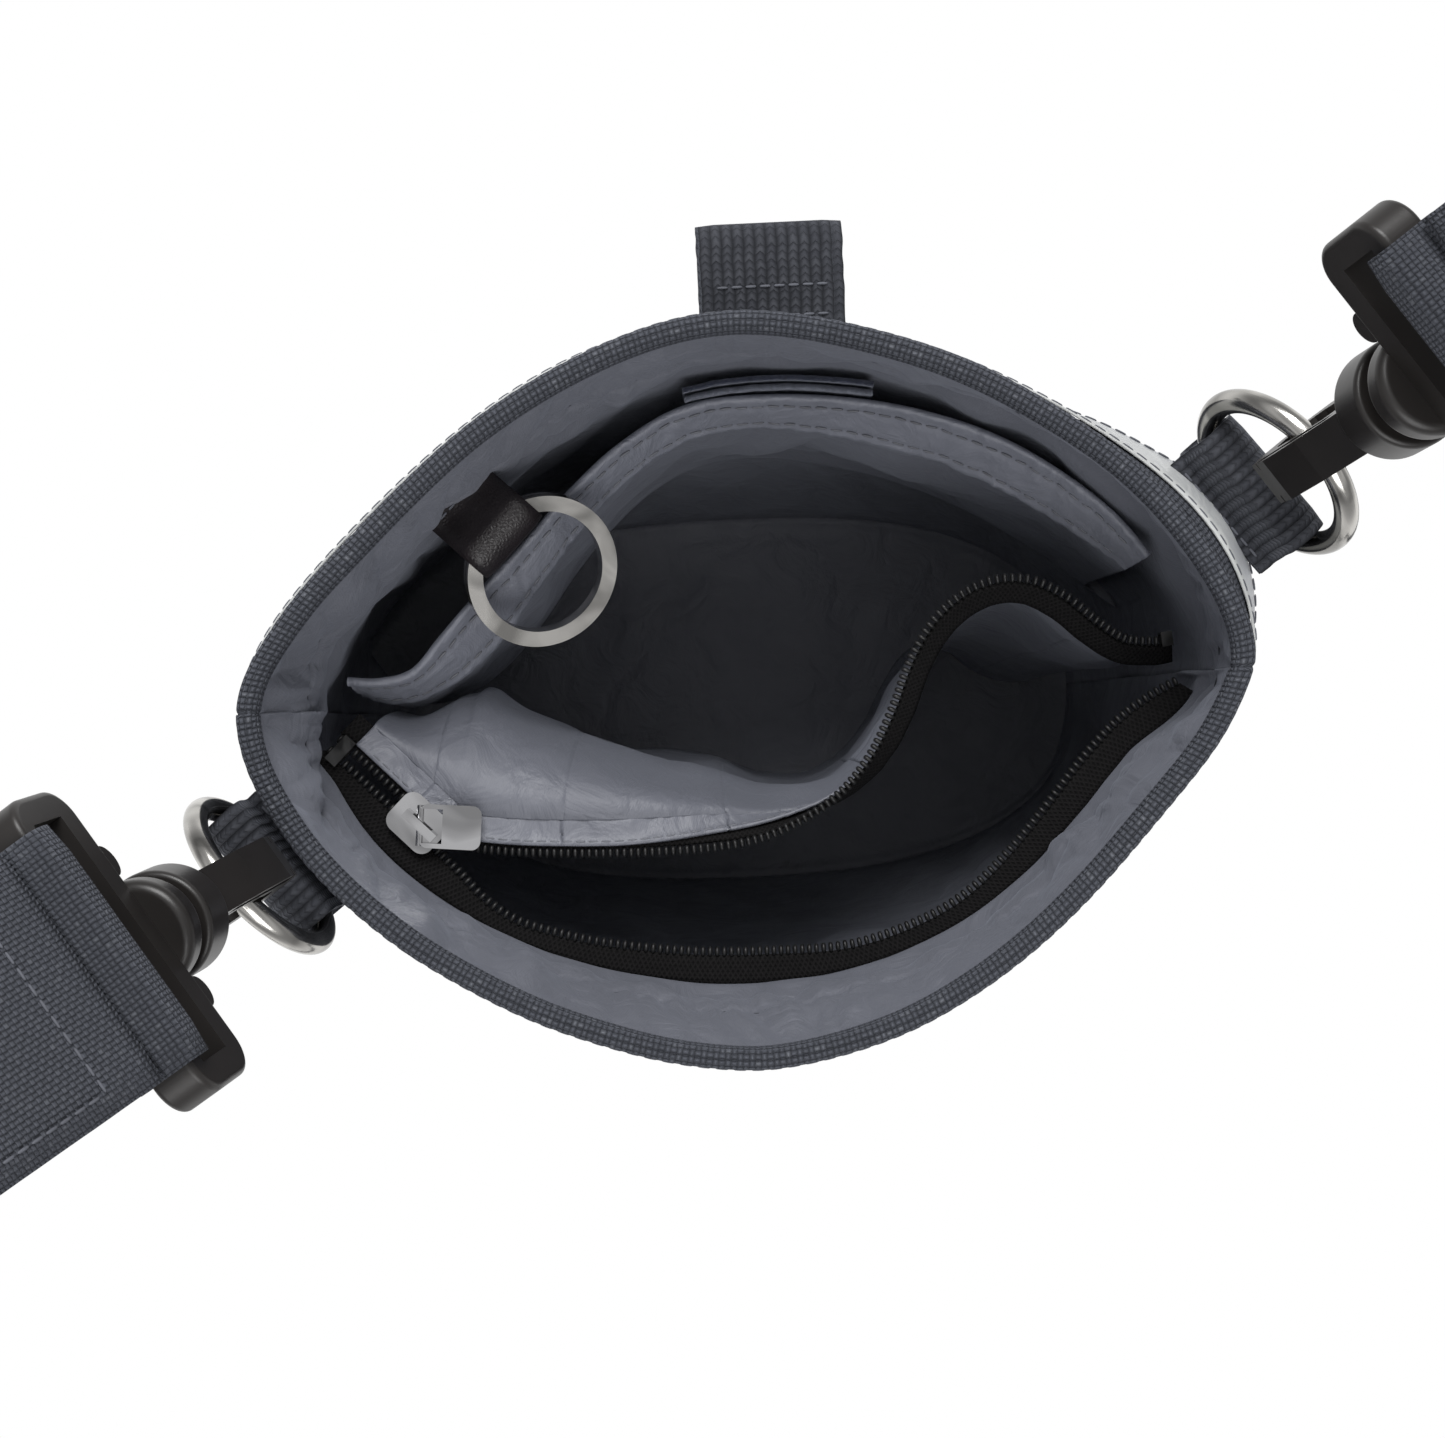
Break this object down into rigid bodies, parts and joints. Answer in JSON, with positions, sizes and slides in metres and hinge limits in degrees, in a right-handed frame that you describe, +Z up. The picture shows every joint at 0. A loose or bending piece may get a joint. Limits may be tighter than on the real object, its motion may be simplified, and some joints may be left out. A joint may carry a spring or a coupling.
{
  "type": "treat pouch",
  "caption": "Open-topped fabric treat pouch with zip and slip pockets inside, side rings, and a shoulder strap on swivel snap clips.",
  "frame": {"origin": "middle of the base's underside, on the floor", "axes": "+Z up out of the mouth, +Y towards the back tab and slip pocket, +X along the mouth to the right with the zip pocket at the front"},
  "size_m": [0.4521, 0.3466, 0.2783],
  "materials": {
    "heather_cloth": "matt heather weave",
    "lining_nylon": "slightly shiny coated nylon",
    "webbing": "matt ribbed webbing",
    "reflective_tape": "pale grey reflective cloth",
    "zip_tape": "matt black tape",
    "zip_coil": "black nylon coil",
    "slider_metal": "bright",
    "nickel_wire": "polished nickel",
    "clip_plastic": "satin moulded",
    "holder_leather": "semi-gloss",
    "touch_tape": "hook and loop pile",
    "spring_steel": "plain",
    "board": "plain sheet"
  },
  "bodies": {
    "pouch": {"outer_front": "heather_cloth", "outer_back": "heather_cloth", "base_panel": "heather_cloth", "base_board": "board", "seam_tape_left": "zip_tape", "seam_tape_right": "zip_tape", "rim_binding_front": "heather_cloth", "rim_binding_back": "heather_cloth", "rim_spring_front": "spring_steel", "rim_spring_back": "spring_steel", "facing_front": "lining_nylon", "facing_back": "lining_nylon", "lining_front": "lining_nylon", "lining_back": "lining_nylon", "lining_floor": "lining_nylon", "reflective_strip": "reflective_tape", "zip_tape_rear": "zip_tape", "zip_tape_front": "zip_tape", "zip_coil_rear": "zip_coil", "zip_coil_front": "zip_coil", "zip_pocket_panel": "lining_nylon", "zip_panel_hem": "lining_nylon", "zip_end_stop": "slider_metal", "zip_top_stop_rear": "slider_metal", "slip_pocket_panel": "lining_nylon", "slip_pocket_hem": "lining_nylon", "slip_pocket_floor": "lining_nylon", "hook_tape": "touch_tape", "loop_tape": "touch_tape", "ring_tab_left": "webbing", "ring_tab_right": "webbing", "back_tab": "webbing", "clip_base_left": "clip_plastic", "clip_base_right": "clip_plastic", "key_loop": "holder_leather", "strap_webbing": "webbing", "strap_flap_left": "webbing", "strap_return": "webbing", "strap_fold_left": "webbing", "strap_fold_right": "webbing", "strap_slider": "clip_plastic", "strap_return_fold": "webbing"},
    "ring_left": {"ring_left": "nickel_wire"},
    "ring_right": {"ring_right": "nickel_wire"},
    "hook_left": {"clip_hook_left": "clip_plastic"},
    "hook_right": {"clip_hook_right": "clip_plastic"},
    "gate_left": {"clip_gate_left": "clip_plastic"},
    "gate_right": {"clip_gate_right": "clip_plastic"},
    "zip_slider": {"zip_slider": "slider_metal"},
    "zip_pull": {"zip_pull": "slider_metal"},
    "key_ring": {"key_ring": "nickel_wire"}
  },
  "joints": [
    {"name": "ring_left_swing", "type": "hinge", "parent": "pouch", "child": "ring_left", "pos_m": [-0.0807, -0.0257, 0.145], "axis": [0.6293, -0.7771, 0], "range_deg": [-2, 2]},
    {"name": "ring_right_swing", "type": "hinge", "parent": "pouch", "child": "ring_right", "pos_m": [0.0867, 0.0299, 0.145], "axis": [-0.6157, 0.788, 0], "range_deg": [-2, 2]},
    {"name": "clip_left_swivel", "type": "hinge", "parent": "pouch", "child": "hook_left", "pos_m": [-0.08817, -0.03105, 0.19973], "axis": [-0.1456, -0.0946, 0.9848], "range_deg": [-12, 20]},
    {"name": "clip_right_swivel", "type": "hinge", "parent": "pouch", "child": "hook_right", "pos_m": [0.09807, 0.03841, 0.19862], "axis": [0.1831, 0.1306, 0.9744], "range_deg": [-16, 16]},
    {"name": "gate_left_open", "type": "hinge", "parent": "hook_left", "child": "gate_left", "pos_m": [-0.09248, -0.03385, 0.18918], "axis": [0.5446, -0.8387, 0], "range_deg": [0, 20], "stiffness_Nm_per_rad": 0.05, "springref_deg": -11.46},
    {"name": "gate_right_open", "type": "hinge", "parent": "hook_right", "child": "gate_right", "pos_m": [0.1018, 0.04107, 0.18781], "axis": [-0.5807, 0.8141, 0], "range_deg": [0, 20], "stiffness_Nm_per_rad": 0.05, "springref_deg": -11.46},
    {"name": "zip_slide", "type": "slide", "parent": "pouch", "child": "zip_slider", "axis": [0.6991, -0.715, 0], "range_m": [-0.0083, 0]},
    {"name": "zip_pull_lift", "type": "hinge", "parent": "zip_slider", "child": "zip_pull", "pos_m": [-0.0589, -0.02084, 0.12815], "axis": [-0.0983, -0.9952, 0], "range_deg": [0, 105]},
    {"name": "key_ring_swing", "type": "hinge", "parent": "pouch", "child": "key_ring", "pos_m": [-0.0424, 0.0302, 0.132], "axis": [0.6947, 0.7193, 0], "range_deg": [-20, 5]}
  ]
}
